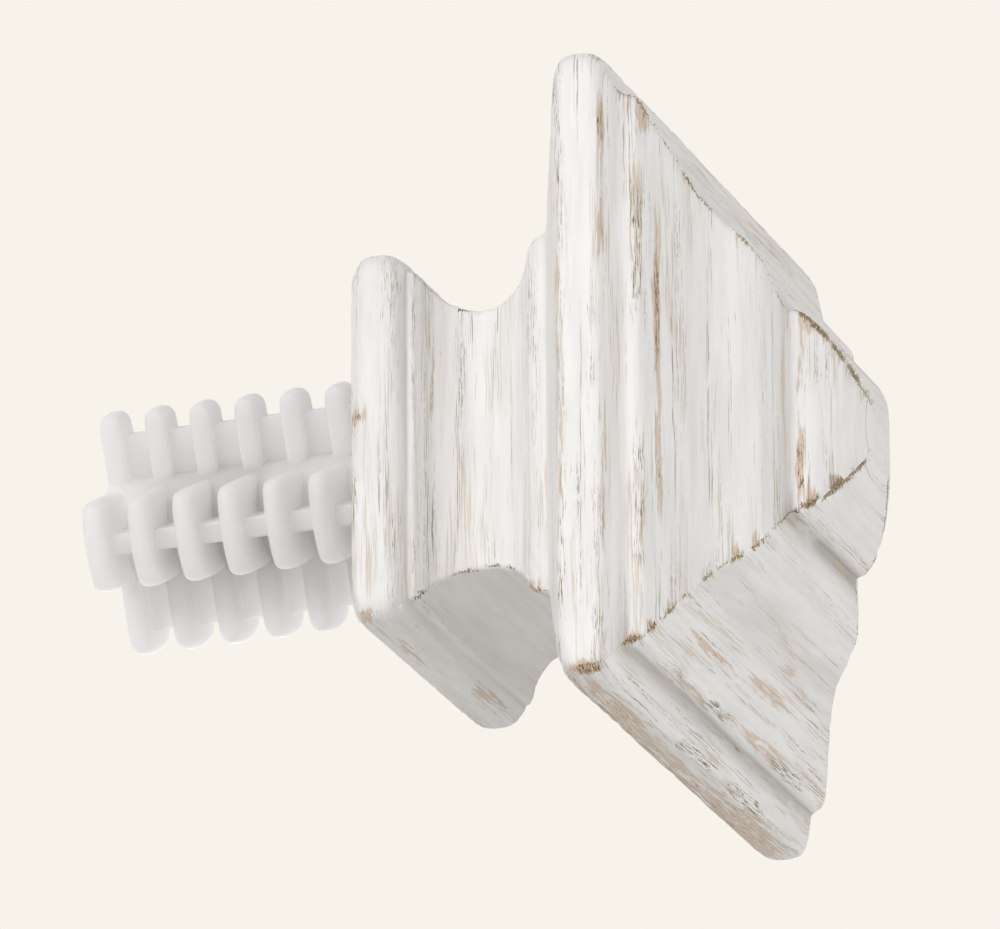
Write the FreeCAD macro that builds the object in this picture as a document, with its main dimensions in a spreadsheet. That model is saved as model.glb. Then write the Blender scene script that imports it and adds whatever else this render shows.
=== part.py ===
"""A square curtain pole finial with a ribbed plug that presses into the end of a tubular pole.

The frame: the origin is on the axis, in the back face of the head, where the end of the pole rests.
+X runs along the axis to the tip, +Z is up. Lengths are millimetres.
"""
import FreeCAD, Part
import math
import os
import Sketcher

# Driving dimensions. A side is the full width of the square section, a run is a length along the axis.
SIZES = {
    # square block against the pole
    "block_side": 38.0,
    "block_edge_radius": 1.5,
    "block_flat": 2.2,
    "block_shoulder_radius": 1.8,
    "block_corner_radius": 2.0,
    # hollow neck
    "quirk_run": 0.8,
    "cove_back_side": 34.3,
    "cove_front_side": 35.2,
    "cove_run": 11.9,
    "cove_depth": 3.9,
    "bead_run": 2.3,
    "bead_side": 37.0,
    "bead_swell": 0.3,
    # wide flange
    "flare_run": 5.1,
    "flange_side": 63.5,
    "flange_edge_radius": 1.2,
    "flange_flat": 2.6,
    "flange_corner_radius": 1.8,
    "apron_run": 0.9,
    # raised panel on the front of the flange
    "panel_side": 56.4,
    "panel_riser": 0.9,
    "panel_roll_radius": 1.1,
    "panel_slope_run": 2.5,
    "hollow_side": 42.8,
    "hollow_run": 3.4,
    "hollow_depth": 0.4,
    "nose_side": 33.9,
    "nose_run": 1.8,
    "nose_swell": 0.2,
    "ledge_side": 29.4,
    "ledge_run": 1.1,
    # domed tip
    "dome_side": 21.2,
    "dome_riser": 1.5,
    "dome_shoulder_side": 20.7,
    "dome_rise": 4.9,
    # ribbed plug
    "plug_radius": 12.2,
    "plug_length": 30.7,
    "plug_turn": 26.5,
    "rib_count": 6,
    "rib_pitch": 4.76,
    "rib_thickness": 2.0,
    "rib_bevel": 0.6,
    "side_lobe_width": 9.2,
    "top_lobe_width": 4.6,
    "bottom_lobe_width": 7.2,
    "top_lobe_radius": 2.1,
    "lobe_corner_radius": 3.0,
    "web_radius": 9.9,
    "web_thickness": 2.1,
    "web_setback": 2.6,
    "core_radius": 5.5,
    "spigot_length": 6.0,
    "spigot_clearance": 0.1,
    # screw that holds the plug
    "screw_radius": 2.0,
    "screw_length": 30.0,
    "screw_point": 4.0,
    "screw_head_radius": 3.6,
    "screw_head_height": 2.4,
    "screw_head_round": 1.2,
    "screw_slot_length": 3.8,
    "screw_slot_width": 1.0,
    "screw_slot_depth": 1.3,
    "screw_clearance": 0.1,
    "screw_hole_spare": 1.0,
    "recess_depth": 16.0,
    "recess_clearance": 0.3,
}

# Lengths below this count as nothing
TINY = 1e-6

doc = FreeCAD.newDocument("finial")
sheet = doc.addObject("Spreadsheet::Sheet", "sizes")
for row, (alias, value) in enumerate(SIZES.items(), start=1):
    sheet.set(f"A{row}", alias)
    sheet.set(f"B{row}", str(value))
    sheet.setAlias(f"B{row}", alias)
doc.recompute()


def measure(expression):
    """The number that an expression over the sheet gives."""
    return float(sheet.evalExpression(expression))


def origin_plane(body, role):
    """One of a body's own origin planes or axes, by its role."""
    return next(item for item in body.Origin.OriginFeatures if item.Role == role)


def new_body(name):
    """An empty body that may hold separate lumps until a later feature joins them."""
    body = doc.addObject("PartDesign::Body", name)
    body.AllowCompound = True
    return body


def new_sketch(body, name, role, offset="0"):
    """A sketch on an origin plane of its body, moved along the plane's normal by an expression."""
    sketch = body.newObject("Sketcher::SketchObject", name)
    sketch.AttachmentSupport = [(origin_plane(body, role), "")]
    sketch.MapMode = "FlatFace"
    sketch.setExpression("AttachmentOffset.Base.z", offset)
    return sketch


def bind(sketch, index, expression):
    """Tie the value of a sketch's constraint to an expression over the sheet."""
    sketch.setExpression(f"Constraints[{index}]", expression)


def draw_circle(sketch, radius):
    """A circle on the sketch's origin, with its radius tied to the sheet."""
    centre = FreeCAD.Vector(0, 0, 0)
    circle = sketch.addGeometry(Part.Circle(centre, FreeCAD.Vector(0, 0, 1), measure(radius)))
    sketch.addConstraint(Sketcher.Constraint("Coincident", circle, 3, -1, 1))
    bind(sketch, sketch.addConstraint(Sketcher.Constraint("Radius", circle, measure(radius))), radius)


def draw_rectangle(sketch, low, high):
    """A rectangle between two opposite corners, each an (x, y) pair of expressions."""
    spans = [[measure(part) for part in corner] for corner in (low, high)]
    corners = [(spans[a][0], spans[b][1]) for a, b in ((0, 0), (1, 0), (1, 1), (0, 1))]
    points = [FreeCAD.Vector(x, y, 0) for x, y in corners]
    lines = [sketch.addGeometry(Part.LineSegment(points[i], points[(i + 1) % 4])) for i in range(4)]
    for i in range(4):
        sketch.addConstraint(Sketcher.Constraint("Coincident", lines[i], 2, lines[(i + 1) % 4], 1))
        sketch.addConstraint(Sketcher.Constraint("Vertical" if i % 2 else "Horizontal", lines[i]))
    for line, corner in ((lines[0], low), (lines[2], high)):
        for kind, expression in zip(("DistanceX", "DistanceY"), corner):
            constraint = Sketcher.Constraint(kind, -1, 1, line, 1, measure(expression))
            bind(sketch, sketch.addConstraint(constraint), expression)


def add_pad(body, sketch, length, centred=False, backwards=False):
    """Extrude a sketch by an expression, from its plane or centred on it."""
    pad = body.newObject("PartDesign::Pad", f"{sketch.Name}_pad")
    pad.Profile = sketch
    pad.Midplane = centred
    pad.Reversed = backwards
    pad.setExpression("Length", length)
    return pad


def add_pocket(body, sketch, depth, backwards=False):
    """Cut a sketch into its body to a depth given by an expression."""
    pocket = body.newObject("PartDesign::Pocket", f"{sketch.Name}_pocket")
    pocket.Profile = sketch
    pocket.Reversed = backwards
    pocket.setExpression("Length", depth)
    return pocket


def add_fillet(body, name, base, edges, radius):
    """Round some edges of a feature, given as numbers counted from one."""
    fillet = body.newObject("PartDesign::Fillet", name)
    fillet.Base = (base, [f"Edge{number}" for number in edges])
    fillet.setExpression("Radius", radius)
    doc.recompute()
    return fillet


def add_chamfer(body, name, base, edges, size):
    """Bevel some edges of a feature, given as numbers counted from one."""
    chamfer = body.newObject("PartDesign::Chamfer", name)
    chamfer.Base = (base, [f"Edge{number}" for number in edges])
    chamfer.setExpression("Size", size)
    doc.recompute()
    return chamfer


def edges_where(feature, test):
    """The numbers of a feature's edges that pass a test."""
    return [number for number, edge in enumerate(feature.Shape.Edges, start=1) if test(edge)]


def runs_along_axis(edge):
    """Whether an edge is parallel to the X axis."""
    box = edge.BoundBox
    return box.XLength > TINY and box.YLength < TINY and box.ZLength < TINY


def at_corner(edge, half_width, half_height):
    """Whether an edge lies on a corner of the upright rectangle about the axis with these half sides."""
    point = edge.Vertexes[0].Point
    return abs(abs(point.y) - half_width) < TINY and abs(abs(point.z) - half_height) < TINY


def on_plug_rim(edge):
    """Whether an edge is parallel to the X axis and lies on the outer radius of the plug."""
    middle = edge.CenterOfMass
    reach = math.hypot(middle.y, middle.z)
    return runs_along_axis(edge) and abs(reach - measure("sizes.plug_radius")) < TINY


# An outline starts and ends on the axis. Each step is the run along the axis, the half width that it ends
# at, and what it is: a straight line, a round of the given radius that stands out, a swelling or hollow
# of the given depth across its chord, or a crown whose centre is on the axis.
HEAD_OUTLINE = [
    ("0", "sizes.block_side / 2 - sizes.block_edge_radius", "line", None),
    ("sizes.block_edge_radius", "sizes.block_side / 2", "round", "sizes.block_edge_radius"),
    ("sizes.block_flat", "sizes.block_side / 2", "line", None),
    ("sizes.block_shoulder_radius", "sizes.block_side / 2 - sizes.block_shoulder_radius",
     "round", "sizes.block_shoulder_radius"),
    ("sizes.quirk_run", "sizes.cove_back_side / 2", "line", None),
    ("sizes.cove_run", "sizes.cove_front_side / 2", "hollow", "sizes.cove_depth"),
    ("sizes.bead_run", "sizes.bead_side / 2", "swelling", "sizes.bead_swell"),
    ("sizes.flare_run", "sizes.flange_side / 2 - sizes.flange_edge_radius", "line", None),
    ("sizes.flange_edge_radius", "sizes.flange_side / 2", "round", "sizes.flange_edge_radius"),
    ("sizes.flange_flat", "sizes.flange_side / 2", "line", None),
    ("sizes.flange_edge_radius", "sizes.flange_side / 2 - sizes.flange_edge_radius",
     "round", "sizes.flange_edge_radius"),
    ("sizes.apron_run", "sizes.panel_side / 2", "line", None),
    ("sizes.panel_riser", "sizes.panel_side / 2", "line", None),
    ("sizes.panel_roll_radius", "sizes.panel_side / 2 - sizes.panel_roll_radius",
     "round", "sizes.panel_roll_radius"),
    ("sizes.panel_slope_run", "sizes.hollow_side / 2", "line", None),
    ("sizes.hollow_run", "sizes.nose_side / 2", "hollow", "sizes.hollow_depth"),
    ("sizes.nose_run", "sizes.ledge_side / 2", "swelling", "sizes.nose_swell"),
    ("sizes.ledge_run", "sizes.dome_side / 2", "line", None),
    ("sizes.dome_riser", "sizes.dome_shoulder_side / 2", "line", None),
    ("sizes.dome_rise", "0", "crown", None),
]
SCREW_OUTLINE = [
    ("0", "sizes.screw_head_radius - sizes.screw_head_round", "line", None),
    ("sizes.screw_head_round", "sizes.screw_head_radius", "round", "sizes.screw_head_round"),
    ("sizes.screw_head_height - sizes.screw_head_round", "sizes.screw_head_radius", "line", None),
    ("0", "sizes.screw_radius", "line", None),
    ("sizes.screw_length - sizes.screw_point", "sizes.screw_radius", "line", None),
    ("sizes.screw_point", "0", "line", None),
]


def arc_radius(run, start_half, end_half, kind, amount):
    """The expression for the radius of one of an outline's curved steps."""
    if kind == "round":
        return amount
    if kind == "crown":
        return f"(({start_half})^2 + ({run})^2) / (2 * ({run}))"
    return f"((({run})^2 + ({end_half} - ({start_half}))^2) / 4 + ({amount})^2) / (2 * ({amount}))"


def add_arc(sketch, start, end, radius, stands_out):
    """An arc of under half a turn from start to end; gives its number and its start and end point codes."""
    chord = end - start
    middle = (start + end) * 0.5
    outwards = FreeCAD.Vector(-chord.y, chord.x, 0).normalize()
    rise = math.sqrt(max(radius ** 2 - (chord.Length / 2) ** 2, 0))
    centre = middle - outwards * rise if stands_out else middle + outwards * rise
    # a sketch's arcs run anticlockwise, so one that stands out runs from its end to its start
    first, last = (end, start) if stands_out else (start, end)
    angles = [math.atan2(point.y - centre.y, point.x - centre.x) for point in (first, last)]
    circle = Part.Circle(centre, FreeCAD.Vector(0, 0, 1), radius)
    index = sketch.addGeometry(Part.ArcOfCircle(circle, *angles))
    return (index, 2, 1) if stands_out else (index, 1, 2)


def draw_outline(sketch, station, steps):
    """A closed half outline above the axis, from a station on it, with every size tied to the sheet."""
    point = FreeCAD.Vector(measure(station), 0, 0)
    half = "0"
    axis = sketch.addGeometry(Part.LineSegment(FreeCAD.Vector(measure(station) + 1, 0, 0), point))
    sketch.addConstraint(Sketcher.Constraint("PointOnObject", axis, 2, -1))
    place = sketch.addConstraint(Sketcher.Constraint("DistanceX", -1, 1, axis, 2, measure(station)))
    bind(sketch, place, station)
    joint = (axis, 2)
    for run, end_half, kind, amount in steps:
        end = FreeCAD.Vector(point.x + measure(run), measure(end_half), 0)
        if kind == "line":
            piece, first, last = sketch.addGeometry(Part.LineSegment(point, end)), 1, 2
        else:
            radius = arc_radius(run, half, end_half, kind, amount)
            piece, first, last = add_arc(sketch, point, end, measure(radius), kind != "hollow")
            bind(sketch, sketch.addConstraint(Sketcher.Constraint("Radius", piece, measure(radius))), radius)
        sketch.addConstraint(Sketcher.Constraint("Coincident", joint[0], joint[1], piece, first))
        if measure(run) == 0:
            sketch.addConstraint(Sketcher.Constraint("Vertical", piece))
        else:
            constraint = Sketcher.Constraint("DistanceX", piece, first, piece, last, measure(run))
            bind(sketch, sketch.addConstraint(constraint), run)
        if measure(end_half) == 0:
            sketch.addConstraint(Sketcher.Constraint("PointOnObject", piece, last, -1))
        else:
            constraint = Sketcher.Constraint("DistanceY", -1, 1, piece, last, measure(end_half))
            bind(sketch, sketch.addConstraint(constraint), end_half)
        point, half, joint = end, end_half, (piece, last)
    sketch.addConstraint(Sketcher.Constraint("Coincident", joint[0], joint[1], axis, 1))


def outline_bar(name, sketch_role, mirror_role):
    """A long bar with the head's whole outline, drawn on one plane of the axis and mirrored in the other."""
    body = new_body(name)
    sketch = new_sketch(body, f"{name}_outline", sketch_role)
    draw_outline(sketch, "0", HEAD_OUTLINE)
    pad = add_pad(body, sketch, "2 * sizes.flange_side", centred=True)
    mirrored = body.newObject("PartDesign::Mirrored", f"{name}_mirrored")
    mirrored.Originals = [pad]
    mirrored.MirrorPlane = (origin_plane(body, mirror_role), [""])
    body.Tip = mirrored
    return body


NECK_STATION = ("sizes.block_edge_radius + sizes.block_flat + sizes.block_shoulder_radius"
                " + sizes.quirk_run + sizes.cove_run / 2")


def corner_stock():
    """Two square lengths with rounded corners, which the corners of the block and the flange follow."""
    body = new_body("corner_stock")
    lengths = (
        ("block", "sizes.block_side", "0", NECK_STATION),
        ("flange", "sizes.flange_side", NECK_STATION, "sizes.flange_side"),
    )
    for name, side, start, length in lengths:
        sketch = new_sketch(body, f"{name}_square", "YZ_Plane", start)
        draw_rectangle(sketch, (f"-{side} / 2", f"-{side} / 2"), (f"{side} / 2", f"{side} / 2"))
        square = add_pad(body, sketch, length)
        doc.recompute()
        half = measure(f"{side} / 2")
        corners = edges_where(square, lambda edge: runs_along_axis(edge) and at_corner(edge, half, half))
        add_fillet(body, f"{name}_corners", square, corners, f"sizes.{name}_corner_radius")
    return body


def bored(name, label, base, bores):
    """A solid with round blind holes bored into it from the back face: (radius, depth) expressions."""
    for number, (radius, depth) in enumerate(bores, start=1):
        drill = doc.addObject("Part::Cylinder", f"{name}_drill_{number}")
        drill.setExpression("Radius", radius)
        drill.setExpression("Height", depth)
        drill.Placement.Rotation = FreeCAD.Rotation(FreeCAD.Vector(0, 0, 1), FreeCAD.Vector(1, 0, 0))
        cut = doc.addObject("Part::Cut", f"{name}_bored_{number}")
        cut.Base = base
        cut.Tool = drill
        base = cut
    base.Label = label
    return base


SCREW_SEAT = "sizes.plug_length - sizes.recess_depth"


def finial_head():
    """The head: one outline cut through from the side and from above, so that its corners are mitred."""
    stock = [
        outline_bar("side_bar", "XZ_Plane", "XY_Plane"),
        outline_bar("plan_bar", "XY_Plane", "XZ_Plane"),
        corner_stock(),
    ]
    section = doc.addObject("Part::MultiCommon", "head_section")
    section.Shapes = stock
    bores = [
        ("sizes.core_radius + sizes.spigot_clearance", "sizes.spigot_length"),
        ("sizes.screw_radius + sizes.screw_clearance",
         f"sizes.screw_length - ({SCREW_SEAT}) + sizes.screw_hole_spare"),
    ]
    return bored("head", "finial_head", section, bores)


def pole_plug():
    """The moulded plug: a round core and four webs that carry a row of cross-shaped ribs."""
    body = new_body("plug")
    body.Label = "pole_plug"
    axis = (origin_plane(body, "X_Axis"), [""])
    first_rib = "-(sizes.plug_length - sizes.rib_thickness / 2)"

    disc = new_sketch(body, "rib_disc", "YZ_Plane", first_rib)
    draw_circle(disc, "sizes.plug_radius")
    add_pad(body, disc, "sizes.rib_thickness", centred=True)
    notch = new_sketch(body, "rib_notches", "YZ_Plane", f"{first_rib} + sizes.rib_thickness / 2")
    for z_side, lobe in (("", "top"), ("-", "bottom")):
        for y_side in ("", "-"):
            inner = (f"{y_side}sizes.{lobe}_lobe_width / 2", f"{z_side}sizes.side_lobe_width / 2")
            draw_rectangle(notch, inner, (f"{y_side}sizes.plug_radius", f"{z_side}sizes.plug_radius"))
    notches = add_pocket(body, notch, "sizes.rib_thickness")
    doc.recompute()
    top_start = measure("sizes.side_lobe_width / 2") + TINY
    tops = edges_where(notches, lambda edge: on_plug_rim(edge) and edge.CenterOfMass.z > top_start)
    topped = add_fillet(body, "top_lobe_corners", notches, tops, "sizes.top_lobe_radius")
    others = edges_where(topped, lambda edge: on_plug_rim(edge) and edge.CenterOfMass.z < top_start)
    lobes = add_fillet(body, "lobe_corners", topped, others, "sizes.lobe_corner_radius")
    rims = edges_where(lobes, lambda edge: edge.BoundBox.XLength < TINY)
    rib = add_chamfer(body, "rib_edges", lobes, rims, "sizes.rib_bevel")
    row = body.newObject("PartDesign::LinearPattern", "rib_row")
    row.TransformMode = "Whole shape"
    row.BaseFeature = rib
    row.Direction = axis
    row.Mode = "Spacing"
    row.setExpression("Offset", "sizes.rib_pitch")
    row.setExpression("Occurrences", "sizes.rib_count")
    body.Tip = row

    core = new_sketch(body, "core_circle", "YZ_Plane", "sizes.spigot_length")
    draw_circle(core, "sizes.core_radius")
    add_pad(body, core, "sizes.spigot_length + sizes.plug_length", backwards=True)
    web = new_sketch(body, "web_section", "YZ_Plane", "-sizes.web_setback")
    draw_rectangle(web, ("-sizes.web_thickness / 2", "-sizes.web_radius"),
                   ("sizes.web_thickness / 2", "sizes.web_radius"))
    web_length = "sizes.plug_length - sizes.web_setback - sizes.rib_bevel"
    plate = add_pad(body, web, web_length, backwards=True)
    webs = body.newObject("PartDesign::PolarPattern", "webs")
    webs.Originals = [plate]
    webs.Axis = axis
    webs.Angle = 90
    webs.Occurrences = 2
    body.Tip = webs
    recess = new_sketch(body, "screw_recess", "YZ_Plane", "-sizes.plug_length")
    draw_circle(recess, "sizes.screw_head_radius + sizes.recess_clearance")
    add_pocket(body, recess, "sizes.recess_depth", backwards=True)
    hole = new_sketch(body, "screw_hole", "YZ_Plane", "sizes.spigot_length")
    draw_circle(hole, "sizes.screw_radius + sizes.screw_clearance")
    add_pocket(body, hole, "sizes.spigot_length + sizes.plug_length")
    body.Placement.Rotation = FreeCAD.Rotation(FreeCAD.Vector(1, 0, 0), 0)
    body.setExpression("Placement.Rotation.Angle", "sizes.plug_turn * 1 deg")
    return body


def plug_screw():
    """The screw, its head in the plug's recess and its pointed end in the head."""
    body = new_body("screw")
    body.Label = "plug_screw"
    head_end = f"-({SCREW_SEAT}) - sizes.screw_head_height"
    outline = new_sketch(body, "screw_outline", "XZ_Plane")
    draw_outline(outline, head_end, SCREW_OUTLINE)
    turned = body.newObject("PartDesign::Revolution", "screw_turned")
    turned.Profile = outline
    turned.ReferenceAxis = (outline, ["H_Axis"])
    turned.Angle = 360
    slot = new_sketch(body, "screw_slot", "YZ_Plane", head_end)
    draw_rectangle(slot, ("-sizes.screw_slot_length / 2", "-sizes.screw_slot_width / 2"),
                   ("sizes.screw_slot_length / 2", "sizes.screw_slot_width / 2"))
    cut = add_pocket(body, slot, "sizes.screw_slot_depth", backwards=True)
    cross = body.newObject("PartDesign::PolarPattern", "screw_cross")
    cross.Originals = [cut]
    cross.Axis = (origin_plane(body, "X_Axis"), [""])
    cross.Angle = 90
    cross.Occurrences = 2
    body.Tip = cross
    return body


NODES = [finial_head(), pole_plug(), plug_screw()]
doc.recompute()
for item in doc.Objects:
    if {"Invalid", "Error"} & set(item.State):
        raise RuntimeError(f"{item.Name} failed: {item.State}")
    base = getattr(item, "BaseFeature", None)
    if base and abs(item.Shape.Volume - base.Shape.Volume) < TINY:
        raise RuntimeError(f"{item.Name} neither adds nor cuts anything")
for node in NODES:
    if node.Shape.isNull() or not node.Shape.isValid() or len(node.Shape.Solids) != 1:
        raise RuntimeError(f"{node.Label} is not one valid solid")

os.makedirs("parts", exist_ok=True)
for node in NODES:
    node.Shape.exportStep(f"parts/{node.Label}.step")
    box = node.Shape.BoundBox
    print(node.Label, len(node.Shape.Solids), "solid", round(node.Shape.Volume, 1), "mm3,",
          "x", round(box.XMin, 2), round(box.XMax, 2), "y", round(box.YMin, 2), round(box.YMax, 2),
          "z", round(box.ZMin, 2), round(box.ZMax, 2))
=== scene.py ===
# %% [markdown]
# # A square curtain pole finial
# A finial is the knob that closes the end of a curtain pole. This one is a square head of cast resin with
# mitred mouldings all round, painted white over brown and rubbed back, and a ribbed plastic plug that presses
# into the bore of the pole. The solids come from the CAD part and stay as they are. Each visible piece is
# drawn again over its solid, in the same place, with the soft edges and the finish of the real thing.

# %% Load the solids
import math

import bpy
import numpy as np
from mathutils import Matrix, Vector


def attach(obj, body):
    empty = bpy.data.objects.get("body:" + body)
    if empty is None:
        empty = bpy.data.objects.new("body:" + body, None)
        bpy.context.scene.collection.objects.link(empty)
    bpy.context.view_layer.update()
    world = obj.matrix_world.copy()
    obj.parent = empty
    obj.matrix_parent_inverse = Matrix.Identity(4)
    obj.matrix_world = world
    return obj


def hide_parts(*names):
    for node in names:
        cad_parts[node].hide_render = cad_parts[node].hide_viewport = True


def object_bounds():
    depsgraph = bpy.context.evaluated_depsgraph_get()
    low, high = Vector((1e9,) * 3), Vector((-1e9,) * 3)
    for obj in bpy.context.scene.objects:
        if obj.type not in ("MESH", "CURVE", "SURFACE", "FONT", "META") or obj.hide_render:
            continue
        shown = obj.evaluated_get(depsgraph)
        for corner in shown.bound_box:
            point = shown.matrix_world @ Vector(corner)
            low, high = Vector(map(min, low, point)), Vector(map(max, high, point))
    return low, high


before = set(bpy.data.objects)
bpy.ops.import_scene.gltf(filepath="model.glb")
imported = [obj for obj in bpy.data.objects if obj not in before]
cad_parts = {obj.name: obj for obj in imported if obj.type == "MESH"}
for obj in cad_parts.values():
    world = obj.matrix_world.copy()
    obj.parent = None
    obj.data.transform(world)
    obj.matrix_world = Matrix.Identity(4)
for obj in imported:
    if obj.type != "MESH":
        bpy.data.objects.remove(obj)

MM = 0.001
# Keeps a division away from zero
TINY = 1e-9
cad_low, cad_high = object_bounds()
print("CAD box in mm:", [round(side / MM, 2) for side in cad_high - cad_low])

# %% [markdown]
# ## One mesh maker for every piece
# Both drawn pieces are rings of points carried along the axis: a square ring for the head, a lobed one for
# the plug. So one function can skin them. It could also be done with a curve and a bevel object, but whole
# arrays let every point of every ring have its own radius, and give each face its own place in a UV map.

# %% Skin a row of rings


def with_next(rows, has_poles):
    """Rows and the rows after them. Nothing follows the last row at a pole, and otherwise the first does."""
    return (rows[:-1], rows[1:]) if has_poles else (rows, np.roll(rows, -1, axis=0))


def face_blocks(corners, has_poles):
    """Rows of faces with four corners each. At a pole two corners are one, so those faces keep three."""
    return [corners[0][:, [0, 2, 3]], corners[1:-1], corners[-1][:, [0, 1, 2]]] if has_poles else [corners]


def skin_rings(name, rings, brush=None):
    """A closed mesh over rings of points, given in mm with the shape (stations, columns, 3).

    Four neighbours, two on a ring and two on the next, make a face. Where the first ring is a single point
    repeated, the ends close in two poles, and otherwise the last ring joins up with the first.
    brush holds two UV places a column and station, for the column's start and end: (stations, columns, 2, 2).
    """
    has_poles = np.ptp(rings[0], axis=0).max() == 0
    index = np.arange(rings.shape[0] * rings.shape[1]).reshape(rings.shape[:2])
    if has_poles:
        index[0] = index[0, 0]
        index[-1] = index[-1, 0]
    kept = np.unique(index)
    here, following = with_next(np.searchsorted(kept, index), has_poles)
    faces = np.stack([here, np.roll(here, -1, axis=1), np.roll(following, -1, axis=1), following], axis=-1)
    blocks = [block.reshape(-1, block.shape[-1]) for block in face_blocks(faces, has_poles)]
    mesh = bpy.data.meshes.new(name)
    points = rings.reshape(-1, 3)[kept] * MM
    mesh.from_pydata(points, [], [face for block in blocks for face in block.tolist()])
    if brush is not None:
        back, ahead = with_next(brush, has_poles)
        corners = np.stack([back[:, :, 0], back[:, :, 1], ahead[:, :, 1], ahead[:, :, 0]], axis=2)
        places = np.concatenate([block.ravel() for block in face_blocks(corners, has_poles)])
        mesh.uv_layers.new(name="brush").data.foreach_set("uv", places)
    mesh.polygons.foreach_set("use_smooth", np.ones(len(mesh.polygons), bool))
    mesh.update()
    piece = bpy.data.objects.new(name, mesh)
    bpy.context.scene.collection.objects.link(piece)
    print(name, len(mesh.vertices), "points,", len(mesh.loops) - 2 * len(mesh.polygons), "triangles")
    return piece, kept


# %% [markdown]
# ## The outline of the head
# Seen from the side, the head is a row of classic mouldings: a square block, a deep cove, a small bead, a
# sloping flare up to a wide flange, then a raised panel, a shallow hollow, a nose and a domed tip. Each is a
# straight run or an arc, so a short table of lengths says it all. The same lengths drive the CAD part. Only
# the nose is drawn a little flatter here, which gives it the clear front edge of the painted piece.

# %% The lengths of the outline
# The bulge of a quarter circle, as a share of its radius
ROUND = 1 - math.sqrt(0.5)
TIP_HALF = 10.35
TIP_RISE = 4.9
TIP_RADIUS = (TIP_HALF ** 2 + TIP_RISE ** 2) / (2 * TIP_RISE)
TIP_BULGE = TIP_RADIUS - math.sqrt(TIP_RADIUS ** 2 - (TIP_HALF ** 2 + TIP_RISE ** 2) / 4)
HOLE_END = 16.3
SCREW_HOLE = 2.1
SOCKET_RADIUS = 5.6
# Each step: its run along the axis, the half width it ends at, and its bulge across the chord (mm).
BORE_STEPS = [
    (0.0, SCREW_HOLE, 0.0),  # blind end of the screw hole
    (-10.3, SCREW_HOLE, 0.0),  # screw hole
    (0.0, SOCKET_RADIUS, 0.0),  # step out to the socket of the plug
    (-6.0, SOCKET_RADIUS, 0.0),  # socket of the plug
]
HEAD_STEPS = [
    (0.0, 17.5, 0.0),  # flat back face
    (1.5, 19.0, 1.5 * ROUND),  # back edge of the block
    (2.2, 19.0, 0.0),  # side of the block
    (1.8, 17.2, 1.8 * ROUND),  # shoulder of the block
    (0.8, 17.15, 0.0),  # quirk
    (11.9, 17.6, -3.9),  # cove
    (2.3, 18.5, 0.3),  # bead
    (5.1, 30.55, 0.0),  # flare
    (1.2, 31.75, 1.2 * ROUND),  # back edge of the flange
    (2.6, 31.75, 0.0),  # side of the flange
    (1.2, 30.55, 1.2 * ROUND),  # front edge of the flange
    (0.9, 28.2, 0.0),  # apron
    (0.9, 28.2, 0.0),  # riser of the panel
    (1.1, 27.1, 1.1 * ROUND),  # rolled edge of the panel
    (2.5, 21.4, 0.0),  # slope of the panel
    (3.4, 16.95, -0.4),  # hollow
    (1.8, 14.7, 0.06),  # nose
    (1.1, 10.6, 0.0),  # ledge
    (1.5, TIP_HALF, 0.0),  # riser of the tip
    (TIP_RISE, 0.0, TIP_BULGE),  # dome of the tip
]
print("outline:", len(BORE_STEPS), "steps inside and", len(HEAD_STEPS), "outside")

# %% Draw the outline
OUTLINE_STEP = 0.05
FEWEST_POINTS = 3


def outline_points(start, steps):
    """Arcs end to end, evenly spaced points about OUTLINE_STEP apart, as (x, half width).

    On a chord of length c with a bulge b, the arc's half angle is a = 2 atan(2 b / c). At t from -1 to 1 it
    lies c sin(a t) / (2 sin a) along the chord from its middle and c (cos(a t) - cos a) / (2 sin a) off it.
    """
    pieces = [np.array([start])]
    for run, half, bulge in steps:
        begin = pieces[-1][-1]
        chord = np.array([begin[0] + run, half]) - begin
        length = np.hypot(*chord)
        angle = 2 * math.atan(2 * bulge / length) or TINY
        t = np.linspace(-1, 1, max(FEWEST_POINTS, round(length / OUTLINE_STEP)))[1:, None]
        along = np.sin(angle * t) / math.sin(angle) / 2
        off = (np.cos(angle * t) - math.cos(angle)) / math.sin(angle) / 2
        normal = np.array([-chord[1], chord[0]])
        pieces.append(begin + chord * (0.5 + along) + normal * off)
    return np.concatenate(pieces)


def distances(points):
    """How far along a line each of its points lies."""
    return np.concatenate([[0], np.cumsum(np.hypot(*np.diff(points, axis=0).T))])


def even_lengths(points, spacing):
    """The same line with its points at an even spacing along it, and the distance of each from the start."""
    distance = distances(points)
    even = np.linspace(0, distance[-1], round(distance[-1] / spacing))
    return np.stack([np.interp(even, distance, points[:, axis]) for axis in (0, 1)], axis=1), even


bore_length = distances(outline_points((HOLE_END, 0.0), BORE_STEPS))[-1]
rough_outline = outline_points((HOLE_END, 0.0), BORE_STEPS + HEAD_STEPS)
outline, outline_distance = even_lengths(rough_outline, OUTLINE_STEP)

# %% [markdown]
# ## Soft edges and stations
# Casting and three coats of paint leave no sharp edge, so the outline is averaged over a few tenths of a
# millimetre. How far a wider average pulls it in also tells the outer edges, where a rubbing cloth bites,
# from the creases, which get painted shade. The rings stand closer together where the outline turns.

# %% Soften the outline
# How far an average reaches (mm): on the edges, on the corners of the square, under the cloth, and in the
# creases that get painted shade
EDGE_SPREAD = 0.2
CORNER_SPREAD = 1.0
RUB_SPREAD = 0.6
HOLLOW_SPREAD = 1.4
# The shoulder of the tip is softer than the other edges
SHOULDER_X = 44.1
SHOULDER_REACH = 0.7
SHOULDER_SPREAD = 0.6
SPREADS_KEPT = 4


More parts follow.
